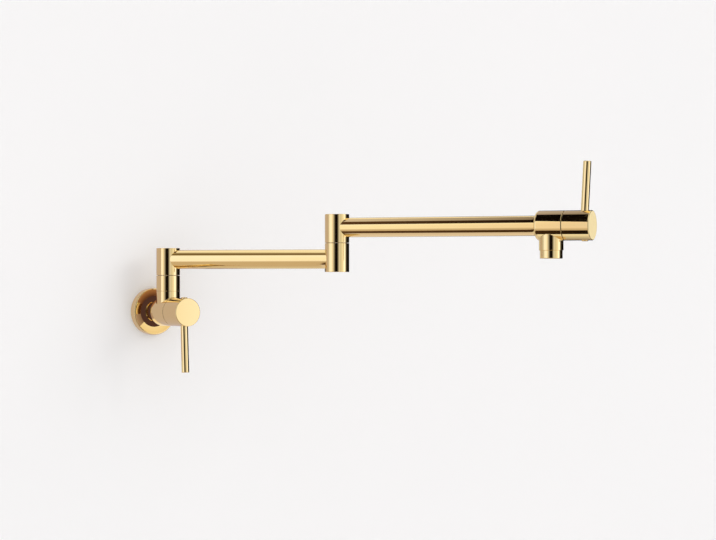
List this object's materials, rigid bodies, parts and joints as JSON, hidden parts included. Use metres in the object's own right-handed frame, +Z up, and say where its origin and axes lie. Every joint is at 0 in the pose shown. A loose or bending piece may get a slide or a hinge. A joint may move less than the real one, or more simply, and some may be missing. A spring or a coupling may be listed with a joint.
{
  "type": "wall mounted pot filler",
  "caption": "Wall mounted pot filler with two swinging arms, a quarter turn valve at the wall and one at the outlet, and pin levers.",
  "frame": {"origin": "mouth of the inlet thread, at the middle of the flange's back face on the wall", "axes": "+Y into the wall along the inlet, -Y into the room, +X to the right along the wall, +Z up"},
  "size_m": [0.3501, 0.5238, 0.2567],
  "materials": {
    "polished_gold_brass": "mirror polished with a gold coloured coat",
    "machined_brass": "turned, uncoated",
    "alumina_ceramic": "lapped ceramic",
    "black_rubber": "matt moulded",
    "white_ptfe": "waxy turned",
    "spring_steel": "dark spring steel",
    "white_acetal": "moulded",
    "stainless_screen": "etched stainless"
  },
  "bodies": {
    "wall_base": {"wall_flange": "polished_gold_brass", "flange_oring": "black_rubber", "inlet_neck": "polished_gold_brass", "wall_valve_body": "polished_gold_brass", "riser_collar": "polished_gold_brass", "riser_spigot": "machined_brass", "riser_washer": "white_ptfe", "riser_orings": "black_rubber", "riser_circlip": "spring_steel", "wall_cartridge_housing": "machined_brass", "wall_housing_seal": "black_rubber", "wall_seat_seal": "black_rubber", "wall_fixed_disc": "alumina_ceramic"},
    "wall_handle": {"wall_knob": "polished_gold_brass", "wall_lever": "polished_gold_brass", "wall_grub_screw": "spring_steel", "wall_screw_plug": "polished_gold_brass", "wall_stem": "machined_brass", "wall_stem_oring": "black_rubber", "wall_stem_clip": "spring_steel", "wall_moving_disc": "alumina_ceramic"},
    "inner_arm": {"inner_hub": "polished_gold_brass", "inner_hub_cap": "polished_gold_brass", "inner_tube": "polished_gold_brass", "elbow_lower_hub": "polished_gold_brass", "elbow_spigot": "machined_brass", "elbow_washer": "white_ptfe", "elbow_orings": "black_rubber", "elbow_circlip": "spring_steel"},
    "outer_arm": {"elbow_upper_hub": "polished_gold_brass", "elbow_upper_cap": "polished_gold_brass", "outer_tube": "polished_gold_brass", "outlet_valve_body": "polished_gold_brass", "outlet_cartridge_housing": "machined_brass", "outlet_housing_seal": "black_rubber", "outlet_seat_seal": "black_rubber", "outlet_fixed_disc": "alumina_ceramic", "aerator_housing": "polished_gold_brass", "aerator_washer": "black_rubber", "aerator_core": "white_acetal", "aerator_screen": "stainless_screen"},
    "outlet_handle": {"outlet_knob": "polished_gold_brass", "outlet_lever": "polished_gold_brass", "outlet_grub_screw": "spring_steel", "outlet_screw_plug": "polished_gold_brass", "outlet_stem": "machined_brass", "outlet_stem_oring": "black_rubber", "outlet_stem_clip": "spring_steel", "outlet_moving_disc": "alumina_ceramic"}
  },
  "joints": [
    {"name": "wall_valve_turn", "type": "hinge", "parent": "wall_base", "child": "wall_handle", "pos_m": [0, -0.044, 0], "axis": [0, -1, 0], "range_deg": [0, 90]},
    {"name": "riser_swing", "type": "hinge", "parent": "wall_base", "child": "inner_arm", "pos_m": [0, -0.044, 0.04595], "axis": [0, 0, 1], "range_deg": [-123, 57]},
    {"name": "elbow_swing", "type": "hinge", "parent": "inner_arm", "child": "outer_arm", "pos_m": [0.12745, -0.24025, 0.08575], "axis": [0, 0, 1], "continuous": true},
    {"name": "outlet_valve_turn", "type": "hinge", "parent": "outer_arm", "child": "outlet_handle", "pos_m": [0.27777, -0.47172, 0.10495], "axis": [0.5446, -0.8387, 0], "range_deg": [0, 90]}
  ]
}
